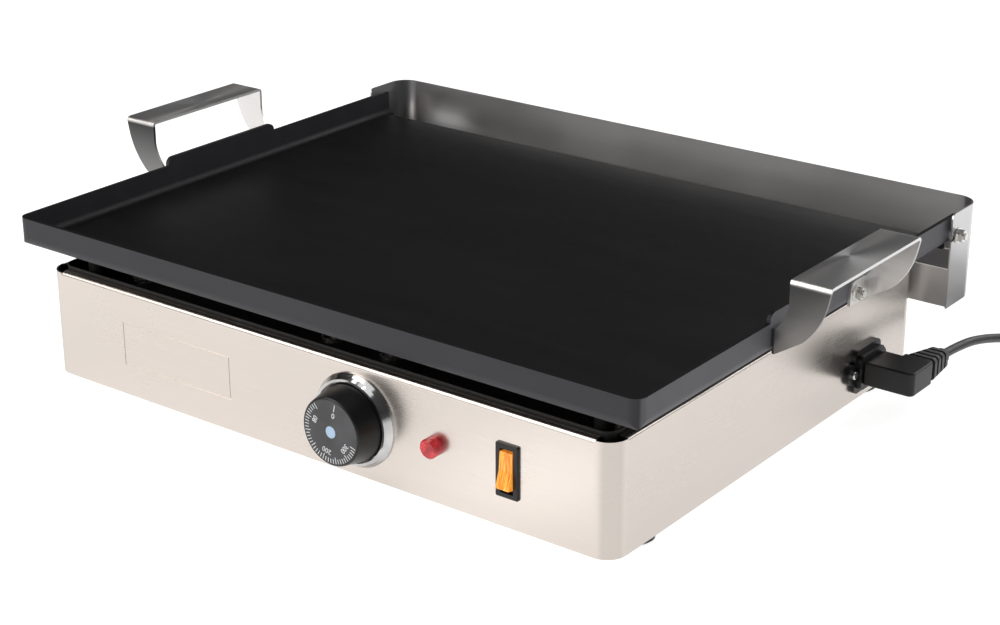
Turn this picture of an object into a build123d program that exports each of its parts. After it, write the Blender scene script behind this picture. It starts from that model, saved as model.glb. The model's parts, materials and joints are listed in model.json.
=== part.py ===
"""Electric griddle: a lift-off enamelled plate with a splash guard on a stainless heated base.

Units are millimetres. +X is to the user's right, +Y points to the rear and +Z is up. The origin
is on the table, under the middle of the appliance's footprint. Depths are first written as a
distance behind the casing's front face, and rear() turns them into Y.
"""
from build123d import *
from math import pi, radians, tan
import os

# ---- driving dimensions -------------------------------------------------------------------
CASING_W = 480.0          # outside width of the casing
CASING_D = 377.0          # outside depth of the casing
CASING_H = 77.0           # wall height, without the feet
CASING_R = 14.0           # outside radius of its upright corners
SHEET = 1.0               # stainless sheet of the casing
FOOT_H = 7.0              # the casing's lower edge stands this high above the table

PLATE_W = 520.0           # outside width of the griddle plate
PLATE_T = 3.0             # its steel
PLATE_FRONT = -6.5        # depth of its front wall's outer face
PLATE_REAR = 392.0        # depth of its rear drip edge
PLATE_BASE = 91.5         # underside, above the casing's lower edge
PLATE_TOP = 112.5         # rim, above the casing's lower edge
PLATE_BEND = 7.5          # outside radius along the foot of its walls

GUARD_REAR = 420.0        # depth of the splash guard's rear face
GUARD_TOP = 116.8         # its top edge, above the casing's lower edge
GUARD_FOOT = 47.0         # its lowest edge, above the casing's lower edge
GUARD_T = 1.2             # its sheet
GUARD_R = 15.0            # outside radius of its upright corners

KNOB_REACH = 23.5         # the knob stands this far in front of the casing
CORD_D = 6.6              # round mains cord, 3 x 1.0 mm2

# ---- derived places -----------------------------------------------------------------------
FRONT_Y = -(GUARD_REAR - KNOB_REACH) / 2
FLOOR = FOOT_H                        # height of the casing's lower edge
CASING_TOP = FLOOR + CASING_H
HALF_W = CASING_W / 2
PLATE_HALF = PLATE_W / 2
PLATE_UNDER = FLOOR + PLATE_BASE
RIM = FLOOR + PLATE_TOP
RUN = 0.05                            # radial clearance of a shaft or thread in its hole
FREE = 0.3                            # gap between parts of different bodies


def rear(depth):
    """Y of a point this far behind the casing's front face."""
    return FRONT_Y + depth


def up(height):
    """Z of a point this far above the casing's lower edge."""
    return FLOOR + height


# ---- small helpers ------------------------------------------------------------------------
BOTTOM_UP = (Align.CENTER, Align.CENTER, Align.MIN)
AXES = {
    "X": (1, 0, 0), "-X": (-1, 0, 0), "Y": (0, 1, 0), "-Y": (0, -1, 0), "Z": (0, 0, 1), "-Z": (0, 0, -1)
}


def block(x0, x1, y0, y1, z0, z1):
    """Box between two corners."""
    centre = Pos((x0 + x1) / 2, (y0 + y1) / 2, (z0 + z1) / 2)
    return centre * Box(abs(x1 - x0), abs(y1 - y0), abs(z1 - z0))


def rod(start, axis, radius, length):
    """Cylinder that starts at a point and runs along a named axis."""
    return Plane(origin=start, z_dir=AXES[axis]) * Cylinder(radius, length, align=BOTTOM_UP)


def hexagon(start, axis, across_flats, length, bore):
    """Hexagon nut that starts at a point and runs along a named axis."""
    body = extrude(RegularPolygon(across_flats / 2, 6, major_radius=False), length)
    return Plane(origin=start, z_dir=AXES[axis]) * body - rod(start, axis, bore, length)


def rounded_slab(width, depth, radius, y_mid, z0, z1):
    """Upright slab with rounded corners, centred on X."""
    return Pos(0, y_mid, z0) * extrude(RectangleRounded(width, depth, radius), z1 - z0)


def turned(profile, start, axis):
    """Body of revolution from (radius, distance) points, about a named axis through a point."""
    outline = make_face(Polyline(*[(r, 0, d) for r, d in profile], close=True))
    return Plane(origin=start, z_dir=AXES[axis]) * revolve(outline, Axis.Z)


def pan_screw(start, axis, radius, length, head_r, head_h):
    """Screw whose head's underside sits at a point, with its shank along a named axis."""
    shank = rod(start, axis, radius, length)
    back = axis[1:] if axis.startswith("-") else "-" + axis
    head = rod(start, back, head_r, head_h)
    head = fillet(head.faces().sort_by(Axis((0, 0, 0), AXES[back]))[-1].edges(), head_h * 0.45)
    return shank + head


def wire(points, radius, bend):
    """Round tube or wire along straight runs joined by tangent arcs."""
    path = FilletPolyline(*points, radius=bend)
    start = Plane(origin=path @ 0, z_dir=path % 0)
    return sweep(start * Circle(radius), path=path)


def mirrored(shape):
    """The same part on the other side."""
    return mirror(shape, Plane.YZ)


def group(shapes):
    """Separate solids kept in one node."""
    return Compound(children=list(shapes))


nodes = {}

# ---- casing -------------------------------------------------------------------------------
LIP_W = 6.2               # inward lip along the top edges, with its bend
LIP_R = 3.0               # outside radius of that bend
CORNER_DROP = 0.8         # the corners' walls end this far below the lip
FLANGE_W = 15.0           # inward flange along the lower edge
CASING_MID = rear(CASING_D / 2)

KNOB_X, KNOB_Z = 42.5, up(38.5)
LAMP_X, LAMP_HEIGHT = 107.0, 39.0
SWITCH_X, SWITCH_HEIGHT = 163.4, 38.5
LAMP_Z, SWITCH_Z = up(LAMP_HEIGHT), up(SWITCH_HEIGHT)
INLET_Y, INLET_Z = rear(305.0), up(22.5)

SWITCH_CUT_W, SWITCH_CUT_H = 13.5, 33.0
LAMP_HOLE_R = 5.5
THERMOSTAT_NECK_R = 4.6
THERMOSTAT_SCREW_PITCH = 28.0
INLET_CUT_D, INLET_CUT_H = 28.4, 21.4
INLET_SCREW_PITCH = 40.0
COVER_SCREW_R = 2.0
FOOT_X, FOOT_DEPTHS = 226.0, (47.0, CASING_D - 47.0)
FOOT_NECK_R = 4.0
PANEL_X, PANEL_Z = (-167.0, -66.0), (up(22.5), up(54.3))
VENT_PITCH, VENT_COUNT = 24.0, 13


def lip(length):
    """Top lip for one side: runs along X, outer face at y=0, top at z=0."""
    half = length / 2
    strip = block(-half, half, 0, SHEET, -2 * LIP_R, 0) + block(-half, half, 0, LIP_W, -SHEET, 0)
    for radius in (LIP_R - SHEET, LIP_R):
        long_edges = strip.edges().filter_by(Axis.X).filter_by(GeomType.LINE)
        bends = [e for e in long_edges if abs(e.center().Y + e.center().Z) < 0.01]
        strip = fillet(max(bends, key=lambda e: e.center().Y), radius)
    return strip


def cover_screw_places():
    """Points along the lower flange, clear of the feet."""
    inset = FLANGE_W / 2
    for x in (-150.0, 0.0, 150.0):
        for depth in (inset, CASING_D - inset):
            yield x, rear(depth)
    for x in (-HALF_W + inset, HALF_W - inset):
        yield x, CASING_MID


def foot_places():
    for x in (-FOOT_X, FOOT_X):
        for depth in FOOT_DEPTHS:
            yield x, rear(depth)


def casing():
    """Folded and welded stainless box, open at the top, with all its cut-outs."""
    wall_top = CASING_TOP - LIP_R
    shell = rounded_slab(CASING_W, CASING_D, CASING_R, CASING_MID, FLOOR, wall_top)
    inside = rounded_slab(
        CASING_W - 2 * SHEET, CASING_D - 2 * SHEET, CASING_R - SHEET, CASING_MID, FLOOR + SHEET, wall_top
    )
    mouth = rounded_slab(
        CASING_W - 2 * FLANGE_W, CASING_D - 2 * FLANGE_W, CASING_R / 2, CASING_MID, FLOOR, FLOOR + SHEET
    )
    shell = shell - inside - mouth + corner_walls()
    across = Pos(0, -CASING_D / 2, 0) * lip(CASING_W - 2 * CASING_R)
    along = Pos(0, -HALF_W, 0) * lip(CASING_D - 2 * CASING_R)
    for turn, strip in ((0, across), (90, along), (180, across), (270, along)):
        shell += Pos(0, CASING_MID, CASING_TOP) * Rot(0, 0, turn) * strip
    for x, y in cover_screw_places():
        shell -= rod((x, y, FLOOR - 1), "Z", COVER_SCREW_R + RUN, 3)
    for x, y in foot_places():
        shell -= rod((x, y, FLOOR - 1), "Z", FOOT_NECK_R + 0.1, 3)
    return shell - front_cutouts() - inlet_cutout() - vents() - blank_panel()


def corner_walls():
    """Short rises of the four rounded corners beside the lip's ends."""
    z0, z1 = CASING_TOP - LIP_R, CASING_TOP - CORNER_DROP
    ring = rounded_slab(CASING_W, CASING_D, CASING_R, CASING_MID, z0, z1)
    ring -= rounded_slab(CASING_W - 2 * SHEET, CASING_D - 2 * SHEET, CASING_R - SHEET, CASING_MID, z0, z1)
    ring -= block(-HALF_W, HALF_W, rear(CASING_R), rear(CASING_D - CASING_R), z0, z1)
    return ring - block(-HALF_W + CASING_R, HALF_W - CASING_R, rear(0), rear(CASING_D), z0, z1)


def front_cutouts():
    """Holes in the front wall for the thermostat, the pilot lamp and the switch."""
    y0, y1 = rear(-1.0), rear(SHEET + 1.0)
    cuts = rod((KNOB_X, y0, KNOB_Z), "Y", THERMOSTAT_NECK_R + 0.2, y1 - y0)
    cuts += rod((LAMP_X, y0, LAMP_Z), "Y", LAMP_HOLE_R, y1 - y0)
    for side in (-1, 1):
        x = KNOB_X + side * THERMOSTAT_SCREW_PITCH / 2
        cuts += rod((x, y0, KNOB_Z), "Y", 2.0, y1 - y0)
    half_w, half_h = SWITCH_CUT_W / 2 + 0.1, SWITCH_CUT_H / 2 + 0.1
    return cuts + block(
        SWITCH_X - half_w, SWITCH_X + half_w, y0, y1, SWITCH_Z - half_h, SWITCH_Z + half_h
    )


def inlet_cutout():
    """Opening and screw holes in the right wall for the appliance inlet."""
    x0, x1 = HALF_W - SHEET - 1, HALF_W + 1
    half_d, half_h = INLET_CUT_D / 2, INLET_CUT_H / 2
    cuts = block(x0, x1, INLET_Y - half_d, INLET_Y + half_d, INLET_Z - half_h, INLET_Z + half_h)
    for side in (-1, 1):
        y = INLET_Y + side * INLET_SCREW_PITCH / 2
        cuts += rod((x0, y, INLET_Z), "X", 1.6, x1 - x0)
    return cuts


def vents():
    """Row of upright cooling slots in the rear wall."""
    slot_r, half_h = 2.5, 12.0
    y = rear(CASING_D - SHEET - 1)
    cuts = []
    for i in range(VENT_COUNT):
        x = (i - (VENT_COUNT - 1) / 2) * VENT_PITCH
        cuts.append(block(x - slot_r, x + slot_r, y, y + SHEET + 2, up(34 - half_h), up(34 + half_h)))
    return group(cuts)


def blank_panel():
    """Shallow pressed frame line around a blank area at the left of the front wall."""
    line_w, depth = 1.4, 0.35
    (x0, x1), (z0, z1) = PANEL_X, PANEL_Z
    outer = block(x0, x1, rear(-1), rear(depth), z0, z1)
    inner = block(x0 + line_w, x1 - line_w, rear(-2), rear(depth + 1), z0 + line_w, z1 - line_w)
    return outer - inner


nodes["casing"] = casing()

# ---- bottom cover, its screws and the feet ------------------------------------------------
COVER_T = 1.0
COVER_INSET = 3.0
FOOT_R = 11.0


def base_cover():
    """Flat sheet that closes the casing from below, with cooling slots."""
    cover = rounded_slab(
        CASING_W - 2 * COVER_INSET, CASING_D - 2 * COVER_INSET, CASING_R - COVER_INSET,
        CASING_MID, FLOOR - COVER_T, FLOOR
    )
    for x, y in cover_screw_places():
        cover -= rod((x, y, 0), "Z", COVER_SCREW_R + RUN, FLOOR)
    for x, y in foot_places():
        cover -= rod((x, y, 0), "Z", FOOT_NECK_R + 0.1, FLOOR)
    slot_w, slot_l, pitch, count = 4.0, 60.0, 14.0, 9
    for side in (-1, 1):
        for i in range(count):
            x = side * 110.0 + (i - (count - 1) / 2) * pitch
            cover -= block(
                x - slot_w / 2, x + slot_w / 2, CASING_MID - slot_l / 2, CASING_MID + slot_l / 2, 0, FLOOR
            )
    return cover


def foot(x, y):
    """Push-in rubber foot: pad, neck through the cover and flange, and a barb above them."""
    neck_top = FLOOR + SHEET
    pad_top = FLOOR - COVER_T
    profile = [
        (0, 0), (FOOT_R - 2.5, 0), (FOOT_R, 2.0), (FOOT_R, pad_top), (FOOT_NECK_R, pad_top),
        (FOOT_NECK_R, neck_top), (FOOT_NECK_R + 1.5, neck_top),
        (FOOT_NECK_R, neck_top + 4), (0, neck_top + 4),
    ]
    return turned(profile, (x, y, 0), "Z")


nodes["base_cover"] = base_cover()
nodes["feet"] = group(foot(x, y) for x, y in foot_places())

# ---- reflector tray, its brackets, and the posts that carry the plate ---------------------
TRAY_GAP = 7.2            # from the casing's outer face to the tray's outer face
TRAY_T = 0.8
TRAY_FLOOR = up(58.0)     # underside of the tray's floor
TRAY_RIM = CASING_TOP + 2.5
TRAY_R = 9.0
POST_R = 6.0
POST_INSET = 24.0
BRACKET_T = 1.5
BRACKET_PLACES = [(x, rear(d)) for x in (-150.0, 150.0) for d in (70.0, CASING_D - 60.0)]

ELEMENT_R = 4.25
ELEMENT_Z = up(82.0)
ELEMENT_X = 115.0         # centre of each heating element
ELEMENT_LEG = 30.0        # half the pitch between its legs
ELEMENT_FRONT, ELEMENT_REAR = 60.0, CASING_D - 55.0
BUSH_R = 7.0
CAPILLARY_R = 1.0
BULB_R = 3.0


def post_places():
    for x in (-HALF_W + POST_INSET, HALF_W - POST_INSET):
        for depth in (POST_INSET, CASING_D - POST_INSET):
            yield x, rear(depth)


def element_ends():
    """Places where the heating elements' four ends pass through the tray."""
    for side in (-1, 1):
        for leg in (-3, 3):
            yield side * ELEMENT_X + leg * ELEMENT_LEG, rear(ELEMENT_FRONT)


CAPILLARY_HOLE = (0.0, rear(95.0))


def reflector_tray():
    """Black sheet tray that closes the casing's top, below the heating elements."""
    width, depth = CASING_W - 2 * TRAY_GAP, CASING_D - 2 * TRAY_GAP
    tray = rounded_slab(width, depth, TRAY_R, CASING_MID, TRAY_FLOOR, TRAY_RIM)
    tray -= rounded_slab(
        width - 2 * TRAY_T, depth - 2 * TRAY_T, TRAY_R - TRAY_T, CASING_MID, TRAY_FLOOR + TRAY_T, TRAY_RIM
    )
    for x, y in post_places():
        tray -= rod((x, y, TRAY_FLOOR - 1), "Z", 2.6, 3)
    for x, y in element_ends():
        tray -= rod((x, y, TRAY_FLOOR - 1), "Z", BUSH_R + 0.1, 3)
    for x, y in BRACKET_PLACES:
        tray -= rod((x, y, TRAY_FLOOR - 1), "Z", 2.1, 3)
    return tray - rod((*CAPILLARY_HOLE, TRAY_FLOOR - 1), "Z", 3.0, 3)


def tray_bracket(x, y):
    """Z-shaped strip from the bottom cover to the tray's floor."""
    half_w, tab = 12.0, 18.0
    foot_tab = block(x - half_w, x + half_w, y - 8, y + tab - 8, FLOOR, FLOOR + BRACKET_T)
    head_tab = block(x - half_w, x + half_w, y - 8, y + tab - 8, TRAY_FLOOR - BRACKET_T, TRAY_FLOOR)
    web = block(x - half_w, x + half_w, y + tab - 8 - BRACKET_T, y + tab - 8, FLOOR, TRAY_FLOOR)
    return foot_tab + head_tab + web - rod((x, y, TRAY_FLOOR - 3), "Z", 2.0 + RUN, 4)


def plate_post(x, y):
    """Black steel post with a blind tapped foot."""
    base = TRAY_FLOOR + TRAY_T
    post = rod((x, y, base), "Z", POST_R, PLATE_UNDER - FREE - base)
    post = chamfer(post.edges().sort_by(Axis.Z)[-1], 1.0)
    return post - rod((x, y, base), "Z", 2.5 + RUN, 13)


nodes["reflector_tray"] = reflector_tray()
nodes["tray_brackets"] = group(tray_bracket(x, y) for x, y in BRACKET_PLACES)


def sheet_screw(start, axis):
    return pan_screw(start, axis, COVER_SCREW_R, 7.5, 3.7, 2.2)


nodes["sheet_screws"] = group(
    [sheet_screw((x, y, FLOOR - COVER_T), "Z") for x, y in cover_screw_places()]
    + [sheet_screw((x, y, TRAY_FLOOR + TRAY_T), "-Z") for x, y in BRACKET_PLACES]
)
nodes["plate_posts"] = group(plate_post(x, y) for x, y in post_places())
nodes["post_screws"] = group(
    pan_screw((x, y, TRAY_FLOOR), "Z", 2.5, 12.0, 4.6, 2.8) for x, y in post_places()
)

# ---- heating elements ---------------------------------------------------------------------


def heating_element(side):
    """Tubular element bent in three loops, its two ends turned down through the tray."""
    xs = [side * ELEMENT_X + leg * ELEMENT_LEG for leg in (-3, -1, 1, 3)]
    y0, y1 = rear(ELEMENT_FRONT), rear(ELEMENT_REAR)
    y_turn = y0 + 22.0
    z_end = TRAY_FLOOR - 8.0
    level = ((xs[0], y0), (xs[0], y1), (xs[1], y1), (xs[1], y_turn), (xs[2], y_turn), (xs[2], y1), (xs[3], y1),
             (xs[3], y0))
    points = [(xs[0], y0, z_end)] + [(x, y, ELEMENT_Z) for x, y in level] + [(xs[3], y0, z_end)]
    return wire(points, ELEMENT_R, 16.0)


def element_support(side, depth):
    """Strip on edge across one element, with an open notch for each leg."""
    half_l = 3 * ELEMENT_LEG + 12.0
    x_mid, y = side * ELEMENT_X, rear(depth)
    base = TRAY_FLOOR + TRAY_T
    strip = block(x_mid - half_l, x_mid + half_l, y - 0.75, y + 0.75, base, ELEMENT_Z + 1.0)
    for leg in (-3, -1, 1, 3):
        x = x_mid + leg * ELEMENT_LEG
        notch_r = ELEMENT_R + 0.1
        strip -= rod((x, y - 2, ELEMENT_Z), "Y", notch_r, 4)
        strip -= block(x - notch_r, x + notch_r, y - 2, y + 2, ELEMENT_Z, ELEMENT_Z + 5)
    return strip


def element_bush(x, y):
    """Flanged bush that seats an element's end in the tray's floor."""
    z = TRAY_FLOOR - 3.0
    collar = TRAY_FLOOR + TRAY_T
    bush = turned(
        [(0, 0), (BUSH_R, 0), (BUSH_R, collar - z), (BUSH_R + 3, collar - z), (BUSH_R + 3, collar - z + 2),
         (0, collar - z + 2)], (x, y, z), "Z")
    return bush - rod((x, y, z - 1), "Z", ELEMENT_R + RUN, 12)


for name, side in (("left", -1), ("right", 1)):
    nodes["heating_element_" + name] = heating_element(side)
nodes["element_supports"] = group(
    element_support(side, depth) for side in (-1, 1) for depth in (125.0, CASING_D - 105.0)
)
nodes["element_bushes"] = group(element_bush(x, y) for x, y in element_ends())
INSULATOR_Z = TRAY_FLOOR - 14.0
nodes["element_insulators"] = group(
    rod((x, y, INSULATOR_Z), "Z", 3.6, 6.0) - rod((x, y, INSULATOR_Z), "Z", 1.8, 6.0)
    for x, y in element_ends()
)
nodes["element_terminals"] = group(
    rod((x, y, INSULATOR_Z - 9), "Z", 1.75, 15.0) for x, y in element_ends()
)

# ---- thermostat with its capillary and sensor bulb ----------------------------------------
SPINDLE_R = 3.0
THERMOSTAT_W, THERMOSTAT_H = 48.0, 34.0
THERMOSTAT_BACK = 36.0
BULB_Z = up(83.0)
BULB_DEPTHS = (130.0, 225.0)
NECK_REACH = 5.0          # the neck stands this far in front of the casing


def thermostat_body():
    """Moulded switch block with a metal neck for the spindle."""
    y0, y1 = rear(SHEET), rear(THERMOSTAT_BACK)
    half_w, half_h = THERMOSTAT_W / 2, THERMOSTAT_H / 2
    body = block(KNOB_X - half_w, KNOB_X + half_w, y0, y1, KNOB_Z - half_h, KNOB_Z + half_h)
    body = chamfer(body.edges().filter_by(Axis.Y), 3.0)
    body += rod((KNOB_X, rear(-NECK_REACH), KNOB_Z), "Y", THERMOSTAT_NECK_R, NECK_REACH + 5)
    body -= rod((KNOB_X, rear(-NECK_REACH), KNOB_Z), "Y", SPINDLE_R + RUN, NECK_REACH + 14 + FREE)
    for side in (-1, 1):
        x = KNOB_X + side * THERMOSTAT_SCREW_PITCH / 2
        body -= rod((x, y0, KNOB_Z), "Y", 2.0 + RUN, 9)
    return body


CAPILLARY_START = (KNOB_X, rear(THERMOSTAT_BACK), up(40.0))


def capillary():
    """Thin copper tube from the thermostat up through the tray to the bulb."""
    hole_x, hole_y = CAPILLARY_HOLE
    points = [
        CAPILLARY_START, (KNOB_X, rear(48.0), up(40.0)), (hole_x, rear(48.0), up(40.0)),
        (hole_x, hole_y, up(40.0)), (hole_x, hole_y, BULB_Z), (hole_x, rear(BULB_DEPTHS[0]), BULB_Z),
    ]
    return wire(points, CAPILLARY_R, 9.0)


def sensor_bulb():
    bulb = rod((0, rear(BULB_DEPTHS[0]), BULB_Z), "Y", BULB_R, BULB_DEPTHS[1] - BULB_DEPTHS[0])
    return fillet(bulb.edges().filter_by(GeomType.CIRCLE), 1.2)


def bulb_bracket(depth):
    """Small strip on edge that holds the bulb in an open notch."""
    y, half_w = rear(depth), 9.0
    strip = block(-half_w, half_w, y - 0.6, y + 0.6, TRAY_FLOOR + TRAY_T, BULB_Z + 1)
    strip -= rod((0, y - 2, BULB_Z), "Y", BULB_R + 0.1, 4)
    return strip - block(-BULB_R - 0.1, BULB_R + 0.1, y - 2, y + 2, BULB_Z, BULB_Z + 4)


nodes["thermostat_body"] = thermostat_body()
nodes["thermostat_screws"] = group(
    pan_screw((KNOB_X + side * THERMOSTAT_SCREW_PITCH / 2, rear(0), KNOB_Z), "Y", 1.95, 9.0, 3.5, 2.0)
    for side in (-1, 1)
)
nodes["capillary"] = capillary()
nodes["sensor_bulb"] = sensor_bulb()
nodes["bulb_brackets"] = group(bulb_bracket(depth) for depth in (145.0, 210.0))

# ---- knob, its dial face, the spindle and the chrome bezel --------------------------------
BEZEL_R, BEZEL_RIM_R, BEZEL_DEPTH = 32.0, 27.4, 6.0
KNOB_BASE_R, KNOB_FACE_R = 26.4, 23.0
KNOB_BACK = 3.6           # gap behind the knob, in front of the casing
DIAL_T = 0.6


def knob_bezel():
    """Chromed dished ring around the knob, flat on the casing."""
    wall = 1.2
    profile = [
        (BEZEL_RIM_R + 1.0, 0), (BEZEL_R, 0), (BEZEL_R, 1.2), (BEZEL_R - 1.6, 3.6),
        (BEZEL_RIM_R + 1.6, BEZEL_DEPTH), (BEZEL_RIM_R, BEZEL_DEPTH),
        (BEZEL_RIM_R, BEZEL_DEPTH - wall), (BEZEL_RIM_R + 1.0, BEZEL_DEPTH - wall),
    ]
    return turned(profile, (KNOB_X, rear(0), KNOB_Z), "-Y")


def thermostat_knob():
    """Tapered black knob with a recessed face, hollow at the back around its hub."""
    back = (KNOB_X, rear(-KNOB_BACK), KNOB_Z)
    depth, recess_r = KNOB_REACH - KNOB_BACK, KNOB_FACE_R - 1.4
    profile = [
        (0, 0), (KNOB_BASE_R, 0), (KNOB_BASE_R, 2), (KNOB_FACE_R, depth - 0.8), (KNOB_FACE_R - 0.8, depth),
        (recess_r, depth), (recess_r, depth - DIAL_T), (0, depth - DIAL_T),
    ]
    hub_r, face_t, skirt_t = 7.5, 3.0, 2.6
    hollow = [
        (hub_r, 0), (KNOB_BASE_R - skirt_t, 0), (KNOB_FACE_R - face_t, depth - face_t), (hub_r, depth - face_t),
    ]
    knob = turned(profile, back, "-Y") - turned(hollow, back, "-Y")
    knob -= rod(back, "-Y", THERMOSTAT_NECK_R + 0.5, NECK_REACH - KNOB_BACK + 1)
    return knob - rod(back, "-Y", SPINDLE_R + 0.02, 14.0)


def dial_face():
    """Printed disc let into the knob's face."""
    return rod((KNOB_X, rear(-KNOB_REACH + DIAL_T), KNOB_Z), "-Y", KNOB_FACE_R - 1.45, DIAL_T)


nodes["knob_bezel"] = knob_bezel()
nodes["thermostat_knob"] = thermostat_knob()
nodes["dial_face"] = dial_face()
nodes["thermostat_spindle"] = rod((KNOB_X, rear(-KNOB_BACK - 14.0), KNOB_Z), "Y", SPINDLE_R, KNOB_BACK + 28.0)

# ---- pilot lamp ---------------------------------------------------------------------------
LENS_R, LENS_REACH = 6.6, 7.6
LAMP_CORE_R = 4.8


def lamp_lens():
    """Hollow red lens cap with a chamfered front edge."""
    profile = [
        (LAMP_CORE_R + 0.1, 0), (LENS_R, 0), (LENS_R, LENS_REACH - 1.2), (LENS_R - 1.2, LENS_REACH),
        (0, LENS_REACH), (0, LENS_REACH - 1.5), (LAMP_CORE_R + 0.1, LENS_REACH - 1.5),
    ]
    return turned(profile, (LAMP_X, rear(0), LAMP_Z), "-Y")


def lamp_holder():
    """Black tube through the casing that carries the neon capsule."""
    holder = rod((LAMP_X, rear(-3.0), LAMP_Z), "Y", LAMP_CORE_R, 3.0)
    return holder + rod((LAMP_X, rear(0), LAMP_Z), "Y", LAMP_HOLE_R - 0.1, 20.0)


def neon_capsule():
    capsule = rod((LAMP_X, rear(-5.6), LAMP_Z), "Y", 2.4, 2.6)
    return fillet(capsule.edges().filter_by(GeomType.CIRCLE).sort_by(Axis.Y)[0], 2.0)


nodes["lamp_lens"] = lamp_lens()
nodes["lamp_holder"] = lamp_holder()
nodes["neon_capsule"] = neon_capsule()
nodes["lamp_nut"] = hexagon((LAMP_X, rear(SHEET), LAMP_Z), "Y", 15.0, 3.5, LAMP_HOLE_R - 0.05)

# ---- rocker switch ------------------------------------------------------------------------
BEZEL_W, BEZEL_H, BEZEL_REACH = 17.1, 36.0, 1.9
ROCKER_W, ROCKER_HALF = 9.4, 11.8
ROCKER_OPEN_W, ROCKER_OPEN_H = ROCKER_W + 2 * FREE, 29.4
ROCKER_TILT = 11.0        # each way from its middle position, in degrees
PIVOT_DEPTH = 1.5
PIVOT_R = 1.5
ROCKER_ROOM = 9.0         # depth of the opening behind the rocker
SWITCH_BACK = 22.0


def switch_block(width, height, depth0, depth1):
    """Box centred on the switch, between two depths."""
    half_w, half_h = width / 2, height / 2
    return block(
        SWITCH_X - half_w, SWITCH_X + half_w, rear(depth0), rear(depth1), SWITCH_Z - half_h, SWITCH_Z + half_h
    )


def switch_housing():
    """Black frame on the casing with the switch's box behind it."""
    frame = switch_block(BEZEL_W, BEZEL_H, -BEZEL_REACH, 0)
    frame = fillet(frame.edges().filter_by(Axis.Y), 1.2)
    frame = fillet(frame.faces().sort_by(Axis.Y)[0].edges(), 0.9)
    frame += switch_block(SWITCH_CUT_W, SWITCH_CUT_H, 0, SWITCH_BACK)
    frame -= switch_block(ROCKER_OPEN_W, ROCKER_OPEN_H, -BEZEL_REACH - 1, ROCKER_ROOM)
    pivot_half = ROCKER_OPEN_W / 2 + 0.7
    pivot_end = (SWITCH_X - pivot_half, rear(PIVOT_DEPTH), SWITCH_Z)
    return frame - rod(pivot_end, "X", PIVOT_R + RUN, 2 * pivot_half)


def rocker():
    """Amber rocker with hollowed front, tipped so that its lower end stands out."""
    tip, waist, back = -4.7, -3.1, 6.0
    side = [(tip, ROCKER_HALF), (waist, 0), (tip, -ROCKER_HALF), (PIVOT_DEPTH, -ROCKER_HALF), (back, -7.0),
            (back, 7.0), (PIVOT_DEPTH, ROCKER_HALF)]
    outline = make_face(Polyline(*[(0, d - PIVOT_DEPTH, z) for d, z in side], close=True))
    body = extrude(outline, ROCKER_W / 2, dir=(1, 0, 0), both=True)
    body = fillet(body.edges().filter_by(Axis.X).group_by(Axis.Y)[0], 0.8)
    body += rod((-ROCKER_OPEN_W / 2 - 0.5, 0, 0), "X", PIVOT_R, ROCKER_OPEN_W + 1.0)
    return Pos(SWITCH_X, rear(PIVOT_DEPTH), SWITCH_Z) * Rot(-ROCKER_TILT, 0, 0) * body


nodes["switch_housing"] = switch_housing()
nodes["rocker"] = rocker()
TAB_PITCH, TAB_REACH = 10.0, 9.0
nodes["switch_tabs"] = group(
    block(SWITCH_X - 2.4, SWITCH_X + 2.4, rear(SWITCH_BACK), rear(SWITCH_BACK + TAB_REACH), z - 0.4, z + 0.4)
    for z in (SWITCH_Z - TAB_PITCH, SWITCH_Z, SWITCH_Z + TAB_PITCH)
)

# ---- appliance inlet ----------------------------------------------------------------------
INLET_FACE = HALF_W + 7.0             # front of the inlet's collar
INLET_FLANGE_T = 3.0
INLET_BACK = HALF_W - 18.0
SHROUD_D, SHROUD_H = 24.6, 16.6       # cavity that the connector enters
SHROUD_DEPTH = 18.0
PIN_PITCH, EARTH_RISE = 7.0, 4.0


def inlet_housing():
    """Black appliance inlet: lobed flange, raised collar, box behind the wall and its cavity."""
    flange = RectangleRounded(36.0, 32.0, 5.0) + RectangleRounded(INLET_SCREW_PITCH + 15.0, 15.0, 7.4)
    side = Plane(origin=(HALF_W, INLET_Y, INLET_Z), x_dir=(0, 1, 0), z_dir=(1, 0, 0))
    housing = side * extrude(flange, INLET_FLANGE_T)
    collar = extrude(RectangleRounded(32.0, 25.0, 4.0), INLET_FACE - HALF_W)
    housing += side * collar
    housing += block(
        INLET_BACK, HALF_W, INLET_Y - INLET_CUT_D / 2 + 0.1, INLET_Y + INLET_CUT_D / 2 - 0.1,
        INLET_Z - INLET_CUT_H / 2 + 0.1, INLET_Z + INLET_CUT_H / 2 - 0.1
    )
    housing -= block(
        INLET_FACE - SHROUD_DEPTH, INLET_FACE + 1, INLET_Y - SHROUD_D / 2, INLET_Y + SHROUD_D / 2,
        INLET_Z - SHROUD_H / 2, INLET_Z + SHROUD_H / 2
    )
    for sign in (-1, 1):
        housing -= rod((HALF_W - 1, INLET_Y + sign * INLET_SCREW_PITCH / 2, INLET_Z), "X", 1.6, 6)
    for y, z in pin_places():
        housing -= block(INLET_BACK - 1, INLET_FACE, y - 1.05, y + 1.05, z - 2.05, z + 2.05)
    return housing


def pin_places():
    yield INLET_Y - PIN_PITCH, INLET_Z - EARTH_RISE / 2
    yield INLET_Y, INLET_Z + EARTH_RISE / 2
    yield INLET_Y + PIN_PITCH, INLET_Z - EARTH_RISE / 2


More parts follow.
